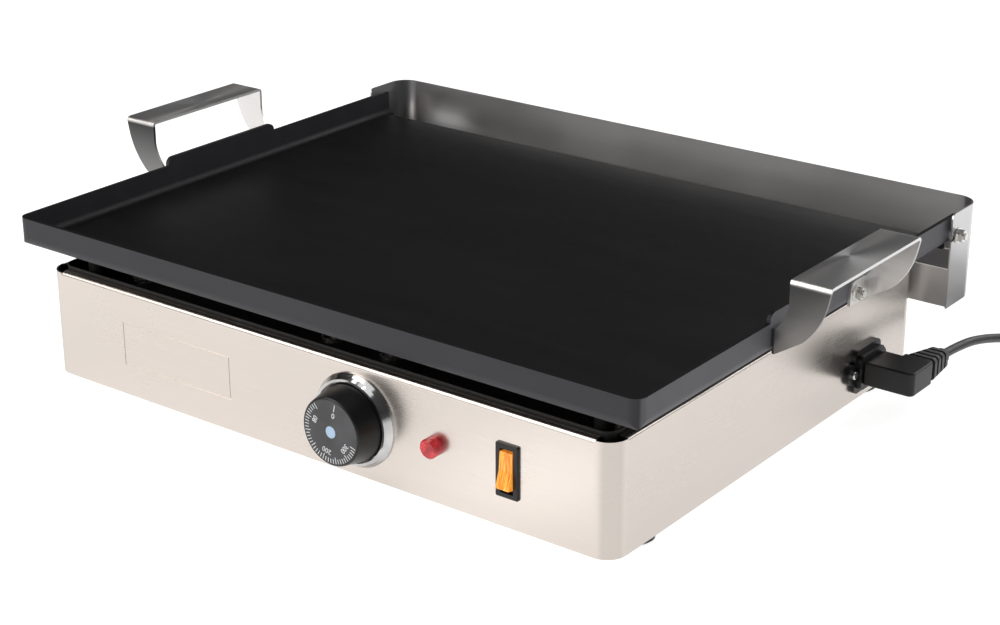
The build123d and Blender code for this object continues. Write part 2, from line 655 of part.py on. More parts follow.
nodes["inlet_housing"] = inlet_housing()
nodes["inlet_pins"] = group(
    block(INLET_BACK - 8, INLET_FACE - 3, y - 1, y + 1, z - 2, z + 2) for y, z in pin_places()
)
inlet_screw_ys = [INLET_Y + side * INLET_SCREW_PITCH / 2 for side in (-1, 1)]
nodes["inlet_screws"] = group(
    pan_screw((HALF_W + INLET_FLANGE_T, y, INLET_Z), "-X", 1.5, 10.0, 3.0, 2.2) for y in inlet_screw_ys
)
nodes["inlet_nuts"] = group(
    hexagon((HALF_W - SHEET, y, INLET_Z), "-X", 5.5, 2.4, 1.5 + RUN) for y in inlet_screw_ys
)

# ---- terminal block, earth stud and the wiring in the base --------------------------------
BLOCK_X, BLOCK_Y = 150.0, rear(230.0)
BLOCK_W, BLOCK_D, BLOCK_H = 46.0, 22.0, 18.0
EARTH_X, EARTH_Y = 200.0, rear(350.0)
WIRE_R = 1.6
WIRE_BEND = 6.0


WAY_PITCH, WAY_Z = 14.0, FLOOR + 9.0      # the block's three ways and the height of their axes
CLAMP_OFFSETS = (-5.0, 5.0)


def terminal_block():
    """Ceramic three-way terminal block on the bottom cover."""
    body = Pos(BLOCK_X, BLOCK_Y, FLOOR) * Box(BLOCK_W, BLOCK_D, BLOCK_H, align=BOTTOM_UP)
    body = chamfer(body.edges().filter_by(Axis.Z), 2.0)
    for x in way_places():
        body -= rod((x, BLOCK_Y - BLOCK_D, WAY_Z), "Y", 2.6, 2 * BLOCK_D)
        for offset in CLAMP_OFFSETS:
            body -= rod((x, BLOCK_Y + offset, WAY_Z), "Z", 2.1, 12)
    return body


def way_places():
    return [BLOCK_X + i * WAY_PITCH for i in (-1, 0, 1)]


def terminal_sleeve(x):
    """Brass sleeve inside the block, with the two holes of its clamp screws."""
    sleeve = rod((x, BLOCK_Y - BLOCK_D / 2 + 1, WAY_Z), "Y", 2.6, BLOCK_D - 2)
    sleeve -= rod((x, BLOCK_Y - BLOCK_D / 2, WAY_Z), "Y", 1.7, BLOCK_D)
    for offset in CLAMP_OFFSETS:
        sleeve -= rod((x, BLOCK_Y + offset, WAY_Z), "Z", 1.5, 6)
    return sleeve


def clamp_screw(x, offset):
    return rod((x, BLOCK_Y + offset, WAY_Z + 1.9), "Z", 1.4, 4.0)


def route(*points):
    """One insulated wire through points given as x, depth and height."""
    return wire([(x, rear(depth), up(height)) for x, depth, height in points], WIRE_R, WIRE_BEND)


nodes["terminal_block"] = terminal_block()
nodes["terminal_sleeves"] = group(terminal_sleeve(x) for x in way_places())
nodes["terminal_screws"] = group(clamp_screw(x, offset) for x in way_places() for offset in CLAMP_OFFSETS)
nodes["earth_stud"] = rod((EARTH_X, EARTH_Y, FLOOR), "Z", 2.5, 16.0)
nodes["earth_nut"] = hexagon((EARTH_X, EARTH_Y, FLOOR + 5), "Z", 8.0, 4.0, 2.5 + RUN)

LIVE_D, EARTH_D, NEUTRAL_D = [305.0 + i * PIN_PITCH for i in (-1, 0, 1)]
TAB_X = INLET_BACK - 8
BLOCK_FRONT, BLOCK_REAR = 227.0, 233.0
SWITCH_WAY, NEUTRAL_WAY, ELEMENT_WAY = BLOCK_X + WAY_PITCH, BLOCK_X, BLOCK_X - WAY_PITCH
supply_wires = [
    route((TAB_X, LIVE_D, 20.5), (SWITCH_WAY, LIVE_D, 20.5), (SWITCH_WAY, 262, 9), (SWITCH_WAY, BLOCK_REAR, 9)),
    route((TAB_X, NEUTRAL_D, 20.5), (NEUTRAL_WAY, NEUTRAL_D, 20.5), (NEUTRAL_WAY, 262, 9),
          (NEUTRAL_WAY, BLOCK_REAR, 9)),
    route((TAB_X, EARTH_D, 24.5), (EARTH_X, EARTH_D, 24.5), (EARTH_X, EARTH_D, 38),
          (EARTH_X, 350, 38), (EARTH_X, 350, 16)),
]
END_X = [side * ELEMENT_X + leg * ELEMENT_LEG for side in (-1, 1) for leg in (-3, 3)]
element_wires = [
    route((END_X[0], ELEMENT_FRONT, 35), (END_X[0], ELEMENT_FRONT, 12), (END_X[0], 120, 12),
          (ELEMENT_WAY, 120, 9), (ELEMENT_WAY, BLOCK_FRONT, 9)),
    route((END_X[3], ELEMENT_FRONT, 35), (END_X[3], ELEMENT_FRONT, 18), (END_X[3], 150, 18),
          (NEUTRAL_WAY, 150, 18), (NEUTRAL_WAY, 190, 9), (NEUTRAL_WAY, BLOCK_FRONT, 9)),
    route((END_X[2], THERMOSTAT_BACK, 26), (END_X[2], ELEMENT_FRONT, 26), (END_X[2], ELEMENT_FRONT, 35)),
    route((34, THERMOSTAT_BACK, 30), (34, 48, 30), (34, 76, 20), (END_X[1], 76, 20),
          (END_X[1], ELEMENT_FRONT, 20), (END_X[1], ELEMENT_FRONT, 35)),
]
TABS_DEPTH = SWITCH_BACK + TAB_REACH
LOW_TAB, HIGH_TAB = SWITCH_HEIGHT - TAB_PITCH, SWITCH_HEIGHT + TAB_PITCH
switch_wires = [
    route((SWITCH_X, TABS_DEPTH, LOW_TAB), (SWITCH_X, 46, LOW_TAB), (57, 46, LOW_TAB),
          (57, THERMOSTAT_BACK, LOW_TAB)),
    route((SWITCH_X, TABS_DEPTH, SWITCH_HEIGHT), (SWITCH_X, 100, SWITCH_HEIGHT), (SWITCH_WAY, 180, 9),
          (SWITCH_WAY, BLOCK_FRONT, 9)),
]
UPPER_LEAD, LOWER_LEAD = LAMP_HEIGHT + 2.2, LAMP_HEIGHT - 2.2
lamp_wires = [
    route((LAMP_X, 20, UPPER_LEAD), (LAMP_X, 34, UPPER_LEAD), (LAMP_X, 56, HIGH_TAB),
          (SWITCH_X, 56, HIGH_TAB), (SWITCH_X, TABS_DEPTH, HIGH_TAB)),
    route((LAMP_X, 20, LOWER_LEAD), (LAMP_X, 44, LOWER_LEAD), (60, 44, LOWER_LEAD),
          (60, THERMOSTAT_BACK, LOWER_LEAD)),
]
nodes["wiring"] = group(supply_wires + element_wires + switch_wires + lamp_wires)

# ---- griddle plate ------------------------------------------------------------------------
PLATE_CORNER_R = 8.0      # outside radius of the upright front corners
DRIP_R = 6.0              # outside radius of the rear edge's downward bend
DRIP_DROP = 3.0           # straight length below that bend
LUG_DEPTHS, LUG_TOP, LUG_R = (137.0, 252.0), 118.9, 5.5
FRONT_WALL_Y = rear(PLATE_FRONT)
REAR_EDGE_Y = rear(PLATE_REAR)
STUD_R = 2.5


def pan_volume(inset):
    """Space inside the plate's outer skin, moved inwards; open above and behind."""
    half, front, base = PLATE_HALF - inset, FRONT_WALL_Y + inset, PLATE_UNDER + inset
    top, back = RIM + inset, REAR_EDGE_Y + inset
    bend = PLATE_BEND - inset
    across = block(-half, half, front, back, base, top)
    along = block(-half, half, front, back, base, top)
    across = fillet(across.edges().filter_by(Axis.Y).group_by(Axis.Z)[0], bend)
    along = fillet(along.edges().filter_by(Axis.X).group_by(Axis.Z)[0].sort_by(Axis.Y)[0], bend)
    return across & along


def griddle_plate():
    """Enamelled steel plate: walls on three sides, side lugs, and a drip edge at the rear."""
    upright = rounded_slab(
        PLATE_W, 2 * (REAR_EDGE_Y - FRONT_WALL_Y), PLATE_CORNER_R, REAR_EDGE_Y, PLATE_UNDER, RIM
    )
    plate = (pan_volume(0) & upright) - pan_volume(PLATE_T)
    lip_half = PLATE_HALF - PLATE_BEND
    lip_y = REAR_EDGE_Y - DRIP_R - 1
    surface = PLATE_UNDER + PLATE_T
    plate -= block(-lip_half, lip_half, lip_y, REAR_EDGE_Y + 1, PLATE_UNDER - 1, surface + 1)
    drip_z = surface - DRIP_R - DRIP_DROP
    drip = block(-lip_half, lip_half, lip_y, REAR_EDGE_Y, drip_z, surface)
    drip = fillet(drip.edges().filter_by(Axis.X).group_by(Axis.Z)[-1].sort_by(Axis.Y)[-1], DRIP_R)
    under = block(-lip_half, lip_half, lip_y - 5, REAR_EDGE_Y - PLATE_T, drip_z - 5, PLATE_UNDER)
    under = fillet(under.edges().filter_by(Axis.X).group_by(Axis.Z)[-1].sort_by(Axis.Y)[-1], DRIP_R - PLATE_T)
    plate += drip - under
    for x0, x1 in ((-PLATE_HALF, -PLATE_HALF + PLATE_T), (PLATE_HALF - PLATE_T, PLATE_HALF)):
        lug = block(x0, x1, rear(LUG_DEPTHS[0]), rear(LUG_DEPTHS[1]), RIM - 2, up(LUG_TOP))
        plate += fillet(lug.edges().filter_by(Axis.X).group_by(Axis.Z)[-1], LUG_R)
    return plate


def locating_ring(x, y):
    """Short ring under the plate that drops over a post's tip."""
    z, depth = PLATE_UNDER - 5.0, 5.0
    return rod((x, y, z), "Z", POST_R + 3.0, depth) - rod((x, y, z), "Z", POST_R + 0.5, depth)


nodes["griddle_plate"] = griddle_plate()
nodes["locating_rings"] = group(locating_ring(x, y) for x, y in post_places())

# ---- handles ------------------------------------------------------------------------------
HANDLE_T = 2.0
HANDLE_DEPTHS = (137.7, 255.0)
HANDLE_TOP = up(143.8)
HANDLE_IN, HANDLE_OUT = 271.6, 299.4     # the grip's two long edges
HANDLE_BEND = 3.0
TAB_L = 19.0
TAB_Z = (up(93.0), up(109.0))
HANDLE_STUD_Z = up(100.5)
HANDLE_STUD_INSET = 12.0                 # from a leg's outer face
GUARD_STUD_DEPTH, GUARD_STUD_Z = 386.0, up(99.6)
NUT_T, NUT_FLATS = 4.0, 8.0
WASHER_T, WASHER_R = 1.0, 5.5


def handle_right():
    """Folded strip: flat grip, two curved legs, and a tab on each leg against the plate's wall."""
    y0, y1 = rear(HANDLE_DEPTHS[0]), rear(HANDLE_DEPTHS[1])
    wall, z_low = PLATE_HALF, TAB_Z[0]
    strap = block(wall, HANDLE_OUT + 1, y0, y1, z_low - 1, HANDLE_TOP)
    strap = fillet(strap.edges().filter_by(Axis.X).group_by(Axis.Z)[-1], HANDLE_BEND)
    hollow = block(wall - 1, HANDLE_OUT + 2, y0 + HANDLE_T, y1 - HANDLE_T, z_low - 2, HANDLE_TOP - HANDLE_T)
    hollow = fillet(hollow.edges().filter_by(Axis.X).group_by(Axis.Z)[-1], HANDLE_BEND - HANDLE_T)
    strap -= hollow
    leg_foot = wall + HANDLE_BEND
    neck = (HANDLE_IN, 0, up(127.0))
    inner_foot, outer_foot = (leg_foot, 0, TAB_Z[1] + 1), (HANDLE_OUT - 17.5, 0, up(105.0))
    knee, shoulder = (HANDLE_OUT - 1.4, 0, up(134.0)), (HANDLE_OUT, 0, HANDLE_TOP - HANDLE_BEND)
    outline = [
        Line((HANDLE_IN, 0, HANDLE_TOP), neck),
        ThreePointArc(neck, (HANDLE_IN - 3.2, 0, up(117.5)), inner_foot),
        Line(inner_foot, (leg_foot, 0, z_low)),
        Line((leg_foot, 0, z_low), outer_foot),
        ThreePointArc(outer_foot, (HANDLE_OUT - 7.6, 0, up(117.5)), knee),
        Line(knee, shoulder),
        Line(shoulder, (HANDLE_OUT, 0, HANDLE_TOP)),
        Line((HANDLE_OUT, 0, HANDLE_TOP), (HANDLE_IN, 0, HANDLE_TOP)),
    ]
    blank = Pos(0, y0, 0) * extrude(make_face(outline), y1 - y0, dir=(0, 1, 0))
    handle = strap & blank
    for y, inward in ((y0, 1), (y1, -1)):
        handle += handle_tab(y, inward)
    return handle


def handle_tab(y, inward):
    """Tab bent from a leg's foot, flat on the plate's wall, with its stud hole."""
    wall, bend = PLATE_HALF, HANDLE_BEND
    far = y + inward * TAB_L
    deep = wall + 2 * bend
    tab = block(wall, deep, y, far, *TAB_Z)
    upright = tab.edges().filter_by(Axis.Z)
    outer = [e for e in upright if abs(e.center().X - wall) < 0.01 and abs(e.center().Y - y) < 0.01]
    tab = fillet(outer, bend)
    tab -= block(wall + HANDLE_T, deep + 1, y + inward * HANDLE_T, far + inward, TAB_Z[0] - 1, TAB_Z[1] + 1)
    tab -= block(wall + bend, deep + 1, y - inward, far + inward, TAB_Z[0] - 1, TAB_Z[1] + 1)
    corner = tab.edges().filter_by(Axis.X).group_by(Axis.Z)[-1]
    free_corner = corner.sort_by(Axis.Y)[-1 if inward > 0 else 0]
    tab = fillet(free_corner, 6.0)
    return tab - rod((wall - 1, y + inward * HANDLE_STUD_INSET, HANDLE_STUD_Z), "X", STUD_R + RUN, 5)


def handle_stud_places():
    yield rear(HANDLE_DEPTHS[0] + HANDLE_STUD_INSET), HANDLE_STUD_Z
    yield rear(HANDLE_DEPTHS[1] - HANDLE_STUD_INSET), HANDLE_STUD_Z


def both_sides(shapes):
    """Copies on the right and left of the appliance."""
    shapes = list(shapes)
    return group(shapes + [mirrored(shape) for shape in shapes])


nodes["handle_right"] = handle_right()
nodes["handle_left"] = mirrored(handle_right())
handle_washer_x = PLATE_HALF + HANDLE_T
nodes["wall_studs"] = both_sides(
    [rod((PLATE_HALF, y, z), "X", STUD_R, HANDLE_T + WASHER_T + NUT_T + 1.5) for y, z in handle_stud_places()]
    + [rod((PLATE_HALF, rear(GUARD_STUD_DEPTH), GUARD_STUD_Z), "X", STUD_R, 11.5)]
)

# ---- splash guard, its fixings and the grease trough --------------------------------------
GUARD_HALF = 264.6
WING_FRONT = 377.0
WING_CORNER_R = 4.0
TROUGH_FRONT, TROUGH_TOP = 380.0, 75.0
TROUGH_T = 1.0
SLOT_HALF = STUD_R + FREE


def guard_space(inset, front, corner_r, z0, z1):
    """Slab from a depth back to the guard's sheet, moved inwards, with rounded rear corners."""
    half, back = GUARD_HALF - inset, rear(GUARD_REAR) - inset
    slab = block(-half, half, rear(front), back, z0, z1)
    corners = slab.edges().filter_by(Axis.Z).group_by(Axis.Y)[-1]
    return fillet(corners, corner_r)


def splash_guard():
    """Wrap-round sheet behind the plate, with side wings that hook on the studs."""
    z0, z1 = up(GUARD_FOOT), up(GUARD_TOP)
    guard = guard_space(0, WING_FRONT, GUARD_R, z0, z1)
    guard -= guard_space(GUARD_T, WING_FRONT - 1, GUARD_R - GUARD_T, z0 - 1, z1 + 1)
    y = rear(WING_FRONT)
    front_corners = [
        e for e in guard.edges().filter_by(Axis.X) if e.center().Y < y + 0.01 and e.center().Z > z1 - 0.01
    ]
    guard = fillet(front_corners, WING_CORNER_R)
    slot_y = rear(GUARD_STUD_DEPTH)
    for x0 in (-GUARD_HALF - 1, GUARD_HALF - 3):
        guard -= block(x0, x0 + 4, y - 1, slot_y, GUARD_STUD_Z - SLOT_HALF, GUARD_STUD_Z + SLOT_HALF)
        guard -= rod((x0, slot_y, GUARD_STUD_Z), "X", SLOT_HALF, 4)
    return guard


def grease_trough():
    """Open channel across the guard's foot that catches the fat from the drip edge."""
    z0, z1 = up(GUARD_FOOT), up(TROUGH_TOP)
    trough = guard_space(GUARD_T, TROUGH_FRONT, GUARD_R - GUARD_T, z0, z1)
    inner = guard_space(
        GUARD_T + TROUGH_T, TROUGH_FRONT + TROUGH_T, GUARD_R - GUARD_T - TROUGH_T, z0 + TROUGH_T, z1 + 1
    )
    return trough - inner


nodes["splash_guard"] = splash_guard()
nodes["grease_trough"] = grease_trough()
guard_stud = (rear(GUARD_STUD_DEPTH), GUARD_STUD_Z)
spacer_t = GUARD_HALF - GUARD_T - FREE - PLATE_HALF
spacer_nut = hexagon((PLATE_HALF, *guard_stud), "X", NUT_FLATS, spacer_t, STUD_R + RUN)
nodes["spacer_nuts"] = both_sides([spacer_nut])
washer_x = GUARD_HALF + FREE
washer_starts = [(handle_washer_x, y, z) for y, z in handle_stud_places()] + [(washer_x, *guard_stud)]
nodes["stud_washers"] = both_sides(
    rod(start, "X", WASHER_R, WASHER_T) - rod(start, "X", STUD_R + RUN, WASHER_T) for start in washer_starts
)
nodes["stud_nuts"] = both_sides(
    hexagon((x + WASHER_T, y, z), "X", NUT_FLATS, NUT_T, STUD_R + RUN) for x, y, z in washer_starts
)

# ---- power lead: connector, cord, coil and plug -------------------------------------------
SHOULDER_X = INLET_FACE + 1.0
CONNECTOR_X1 = 284.0
CONNECTOR_W, CONNECTOR_H = 27.0, 17.0
NOSE_D, NOSE_H, NOSE_L = SHROUD_D - 2 * FREE, SHROUD_H - 2 * FREE, 17.5
ARM_X = (262.0, CONNECTOR_X1)
ARM_REAR = 323.0
RELIEF_REAR = 360.0
EXIT = (273.0, RELIEF_REAR, 20.0)
SLEEVE_W, SLEEVE_H = 3.6, 5.8


def connector_body():
    """Right-angle appliance connector: nose with three sockets, body and short side arm."""
    nose = block(SHOULDER_X - NOSE_L, SHOULDER_X, INLET_Y - NOSE_D / 2, INLET_Y + NOSE_D / 2,
                 INLET_Z - NOSE_H / 2, INLET_Z + NOSE_H / 2)
    body = block(SHOULDER_X, CONNECTOR_X1, INLET_Y - CONNECTOR_W / 2, INLET_Y + CONNECTOR_W / 2,
                 INLET_Z - CONNECTOR_H / 2, INLET_Z + CONNECTOR_H / 2)
    body += block(*ARM_X, INLET_Y, rear(ARM_REAR), INLET_Z - CONNECTOR_H / 2, INLET_Z + CONNECTOR_H / 2)
    body = fillet(body.edges().filter_by(Axis.Z).group_by(Axis.X)[-1], 4.0)
    body = fillet(body.faces().filter_by(Axis.Z).edges().filter_by(lambda e: e.length > 3), 1.2)
    connector = nose + body
    for y, z in pin_places():
        connector -= block(SHOULDER_X - NOSE_L - 1, SHOULDER_X, y - SLEEVE_W / 2, y + SLEEVE_W / 2,
                           z - SLEEVE_H / 2, z + SLEEVE_H / 2)
    return connector


def contact_sleeve(y, z):
    """Brass socket for one flat pin."""
    x0 = SHOULDER_X - NOSE_L + 0.5
    sleeve = block(x0, SHOULDER_X, y - SLEEVE_W / 2, y + SLEEVE_W / 2, z - SLEEVE_H / 2, z + SLEEVE_H / 2)
    return sleeve - block(x0 - 1, SHOULDER_X - 2, y - 1 - FREE, y + 1 + FREE, z - 2 - FREE, z + 2 + FREE)


def strain_relief():
    """Tapered sleeve with four close ribs, from the connector's arm to the cord's exit."""
    x_mid, arm_w = sum(ARM_X) / 2, ARM_X[1] - ARM_X[0]
    end_w, neck = 13.0, 1.6
    rib_t, rib_pitch, count = 4.4, 7.6, 4
    length = RELIEF_REAR - ARM_REAR

    def section(depth, slimmer):
        along = (depth - ARM_REAR) / length
        x = x_mid + along * (EXIT[0] - x_mid)
        z = INLET_Z + along * (up(EXIT[2]) - INLET_Z)
        width = arm_w - 0.5 + along * (end_w - arm_w) - 2 * slimmer
        height = CONNECTOR_H - 0.5 + along * (end_w - CONNECTOR_H) - 2 * slimmer
        place = Plane(origin=(x, rear(depth), z), x_dir=(1, 0, 0), z_dir=(0, 1, 0))
        return place * RectangleRounded(width, height, 3.0)

    sleeve = loft([section(ARM_REAR, neck), section(RELIEF_REAR, neck)])
    for i in range(count):
        depth = ARM_REAR + 3.0 + i * rib_pitch
        sleeve += loft([section(depth, 0), section(depth + rib_t, 0)])
    return sleeve


COIL_BASE = 0.8           # the tie under the coil lifts it this much
COIL_LAYERS, COIL_ROWS = 3, 2
COIL_R = 5.5 * CORD_D     # radius to the middle of the turns
COIL_TURNS = 5.5
LAY_Z = COIL_BASE + CORD_D / 2
COIL_OUT_R = COIL_R + CORD_D / 2
COIL_X, COIL_DEPTH = 289.5 + COIL_OUT_R, 525.0
LEAD_ROUTE = [
    (EXIT[0], EXIT[1], up(EXIT[2])), (274.0, 391.0, 26.0), (278.0, 423.0, 20.0), (283.5, 457.0, 10.0),
    (288.5, 491.0, LAY_Z), (COIL_X - COIL_OUT_R, COIL_DEPTH, LAY_Z),
]
PLUG_R = 18.5
PLUG_X, PLUG_ENTRY = 373.0, 460.0
TOP_Z = LAY_Z + (COIL_LAYERS - 1) * CORD_D
TAIL_ROUTE = [
    (COIL_X + COIL_OUT_R, COIL_DEPTH, TOP_Z), (369.6, 504.0, 15.2), (372.0, 481.0, 16.6),
    (PLUG_X, PLUG_ENTRY, PLUG_R),
]


def bend_radii(points):
    """Radius at each corner: as large as its two runs allow."""
    radii = []
    for before, corner, after in zip(points, points[1:], points[2:]):
        one, two = Vector(*corner) - Vector(*before), Vector(*after) - Vector(*corner)
        turn = radians(one.get_angle(two))
        radii.append(0.45 * min(one.length, two.length) / tan(turn / 2))
    return radii


def cord_tube(name, stretch):
    """Round cord along one stretch of the route, with its radii printed."""
    points = [(x, rear(depth), z) for x, depth, z in stretch]
    radii = bend_radii(points)
    path = FilletPolyline(*points, radius=radii)
    tube = sweep(Plane(origin=path @ 0, z_dir=path % 0) * Circle(CORD_D / 2), path=path)
    ideal = pi * (CORD_D / 2) ** 2 * path.length
    print(name, "length", round(path.length, 1), "radii", [round(r) for r in radii],
          "volume ratio", round(tube.volume / ideal, 4))
    return tube


def cord_coil():
    """Closed ring of the coil's outer shape."""
    width, height = COIL_ROWS * CORD_D, COIL_LAYERS * CORD_D
    section = Plane.XZ * Pos(COIL_R, COIL_BASE + height / 2) * RectangleRounded(width, height, CORD_D / 2)
    return Pos(COIL_X, rear(COIL_DEPTH), 0) * revolve(section, Axis.Z)


def coil_tie():
    """Soft strap closed around the turns."""
    width, height = COIL_ROWS * CORD_D, COIL_LAYERS * CORD_D
    strap_w, t, slack = 9.0, COIL_BASE, 1.0
    place = Plane(origin=(COIL_X, rear(COIL_DEPTH) - COIL_R, 0), x_dir=(0, 1, 0), z_dir=(1, 0, 0))
    band = RectangleRounded(width + 2 * (t + slack), height + 2 * t, CORD_D / 2 + t)
    strap = extrude(place * Pos(0, COIL_BASE + height / 2) * band, strap_w / 2, both=True)
    return strap - cord_coil()


PLUG_L = 66.0
PIN_R, PIN_SPREAD, PIN_L, PIN_ROOT = 2.4, 9.5, 19.0, 12.0
EARTH_W, EARTH_IN, EARTH_L, EARTH_T = 6.0, 16.5, 14.0, 1.2


def plug_body():
    """Round earthed plug lying on its rim, with a waisted grip and a tapered cord entry."""
    profile = [
        (0, 0), (5.2, 0), (7.0, 25), (11.5, 28), (12.5, 34), (11.8, 44), (PLUG_R, 54),
        (PLUG_R, PLUG_L), (0, PLUG_L),
    ]
    body = turned(profile, (PLUG_X, rear(PLUG_ENTRY), PLUG_R), "-Y")
    face_y = rear(PLUG_ENTRY - PLUG_L)
    half = EARTH_W / 2
    for side in (-1, 1):
        body -= rod((PLUG_X + side * PIN_SPREAD, face_y, PLUG_R), "Y", PIN_R, PIN_ROOT)
        z_in, z_out = PLUG_R + side * EARTH_IN, PLUG_R + side * (PLUG_R + 3)
        body -= block(PLUG_X - half, PLUG_X + half, face_y - 1, face_y + EARTH_L, z_in, z_out)
    return body


def plug_contacts():
    """Two round pins and the two side earth strips."""
    face_y = rear(PLUG_ENTRY - PLUG_L)
    half = EARTH_W / 2
    pins = []
    for side in (-1, 1):
        pin = rod((PLUG_X + side * PIN_SPREAD, face_y + PIN_ROOT, PLUG_R), "-Y", PIN_R, PIN_ROOT + PIN_L)
        pins.append(fillet(pin.edges().filter_by(GeomType.CIRCLE).sort_by(Axis.Y)[0], 1.8))
        z0 = PLUG_R + side * EARTH_IN
        pins.append(block(PLUG_X - half, PLUG_X + half, face_y, face_y + EARTH_L, z0, z0 + side * EARTH_T))
    return group(pins)


nodes["connector_body"] = connector_body()
nodes["connector_contacts"] = group(contact_sleeve(y, z) for y, z in pin_places())
nodes["strain_relief"] = strain_relief()
nodes["cord"] = cord_tube("cord", LEAD_ROUTE)
nodes["cord_coil"] = cord_coil()
nodes["coil_tie"] = coil_tie()
nodes["cord_tail"] = cord_tube("cord_tail", TAIL_ROUTE)
nodes["plug_body"] = plug_body()
nodes["plug_contacts"] = plug_contacts()

# ---- one STEP file for each node ----------------------------------------------------------
os.makedirs("parts", exist_ok=True)
for name, shape in nodes.items():
    export_step(shape, "parts/" + name + ".step")
print(len(nodes), "nodes")
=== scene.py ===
"""Electric griddle: looks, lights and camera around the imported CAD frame. Units are metres."""
import bpy
import bmesh
import json
from math import cos, pi, radians, sin
from mathutils import Matrix, Vector


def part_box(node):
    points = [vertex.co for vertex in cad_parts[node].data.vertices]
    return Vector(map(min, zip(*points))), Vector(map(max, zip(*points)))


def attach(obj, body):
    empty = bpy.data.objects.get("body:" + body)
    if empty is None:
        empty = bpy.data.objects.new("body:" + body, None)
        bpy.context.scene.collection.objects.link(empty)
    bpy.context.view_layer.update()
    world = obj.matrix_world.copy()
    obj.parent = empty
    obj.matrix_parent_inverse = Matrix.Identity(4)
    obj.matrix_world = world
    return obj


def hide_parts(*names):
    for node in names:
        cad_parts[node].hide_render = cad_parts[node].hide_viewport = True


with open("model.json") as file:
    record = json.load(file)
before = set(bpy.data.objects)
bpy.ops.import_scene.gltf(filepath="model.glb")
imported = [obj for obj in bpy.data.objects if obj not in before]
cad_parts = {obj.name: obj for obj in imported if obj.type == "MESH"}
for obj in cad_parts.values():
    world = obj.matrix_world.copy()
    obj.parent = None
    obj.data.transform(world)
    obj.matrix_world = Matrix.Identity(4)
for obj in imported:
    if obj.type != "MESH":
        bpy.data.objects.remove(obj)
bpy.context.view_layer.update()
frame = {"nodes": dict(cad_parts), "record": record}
NODES = frame["nodes"]

# ---- places taken from the frame ------------------------------------------------------------
casing_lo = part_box("casing")[0]
plate_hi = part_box("griddle_plate")[1]
handle_lo, handle_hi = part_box("handle_right")
knob_lo, knob_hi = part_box("thermostat_knob")
dial_lo, dial_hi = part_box("dial_face")
coil_lo, coil_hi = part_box("cord_coil")
FRONT_Y = casing_lo[1]
BASE_Z = casing_lo[2]
SHEET = 0.0015            # thickness of the handle strip
CORD_D = 0.0066
THREAD_PITCH = 0.0008


def behind(depth):
    """Y of a point this far behind the casing's front."""
    return FRONT_Y + depth


# ---- camera ---------------------------------------------------------------------------------
def add_camera():
    """The photograph's viewpoint, from the front right and above."""
    data = bpy.data.cameras.new("camera")
    data.sensor_width = 36.0
    data.lens = 75.67
    camera = bpy.data.objects.new("camera", data)
    bpy.context.collection.objects.link(camera)
    camera.location = (0.8453, behind(-0.9048), BASE_Z + 0.5957)
    camera.rotation_euler = (radians(90 - 21.88), radians(0.08), radians(37.21))
    bpy.context.scene.camera = camera


# ---- node helpers ---------------------------------------------------------------------------
class Shader:
    """A node material with short calls for the nodes used here."""

    def __init__(self, name):
        self.material = bpy.data.materials.new(name)
        self.material.use_nodes = True
        self.tree = self.material.node_tree
        self.tree.nodes.clear()
        self.out = self.tree.nodes.new("ShaderNodeOutputMaterial")
        self.bsdf = self.tree.nodes.new("ShaderNodeBsdfPrincipled")
        self.link(self.bsdf.outputs["BSDF"], self.out.inputs["Surface"])
        self.coords = self.tree.nodes.new("ShaderNodeTexCoord").outputs["Object"]

    def link(self, source, target):
        self.tree.links.new(source, target)

    def set(self, **values):
        """Uniform values on the shader's own sockets; underscores stand for spaces."""
        for name, value in values.items():
            self.bsdf.inputs[name.replace("_", " ")].default_value = value

    def mapping(self, scale):
        node = self.tree.nodes.new("ShaderNodeMapping")
        node.inputs["Scale"].default_value = scale
        self.link(self.coords, node.inputs["Vector"])
        return node.outputs["Vector"]

    def noise(self, scale, detail=4.0, roughness=0.55, stretch=(1, 1, 1)):
        node = self.tree.nodes.new("ShaderNodeTexNoise")
        node.inputs["Scale"].default_value = scale
        node.inputs["Detail"].default_value = detail
        node.inputs["Roughness"].default_value = roughness
        self.link(self.mapping(stretch), node.inputs["Vector"])
        return node.outputs["Fac"]

    def cells(self, scale):
        node = self.tree.nodes.new("ShaderNodeTexVoronoi")
        node.inputs["Scale"].default_value = scale
        self.link(self.coords, node.inputs["Vector"])
        return node.outputs["Distance"]

    def math(self, operation, first, second=0.0):
        node = self.tree.nodes.new("ShaderNodeMath")
        node.operation = operation
        for socket, value in zip(node.inputs, (first, second)):
            if isinstance(value, (int, float)):
                socket.default_value = value
            else:
                self.link(value, socket)
        return node.outputs["Value"]

    def spread(self, value, low, high, start=0.0, end=1.0):
        """Maps a value from start..end to low..high."""
        node = self.tree.nodes.new("ShaderNodeMapRange")
        self.link(value, node.inputs["Value"])
        for name, number in (("From Min", start), ("From Max", end), ("To Min", low), ("To Max", high)):
            node.inputs[name].default_value = number
        return node.outputs["Result"]

    def mix(self, factor, first, second):
        """Mixes two colours, given as tuples or sockets."""
        node = self.tree.nodes.new("ShaderNodeMix")
        node.data_type = "RGBA"
        self.link(factor, node.inputs["Factor"])
        for socket, colour in ((node.inputs[6], first), (node.inputs[7], second)):
            if isinstance(colour, tuple):
                socket.default_value = (*colour, 1.0)
            else:
                self.link(colour, socket)
        return node.outputs[2]

    def colour(self, source):
        self.link(source, self.bsdf.inputs["Base Color"])

    def rough(self, source):
        self.link(source, self.bsdf.inputs["Roughness"])

    def bump(self, height, strength, distance):
        node = self.tree.nodes.new("ShaderNodeBump")
        node.inputs["Strength"].default_value = strength
        node.inputs["Distance"].default_value = distance
        self.link(height, node.inputs["Height"])
        self.link(node.outputs["Normal"], self.bsdf.inputs["Normal"])


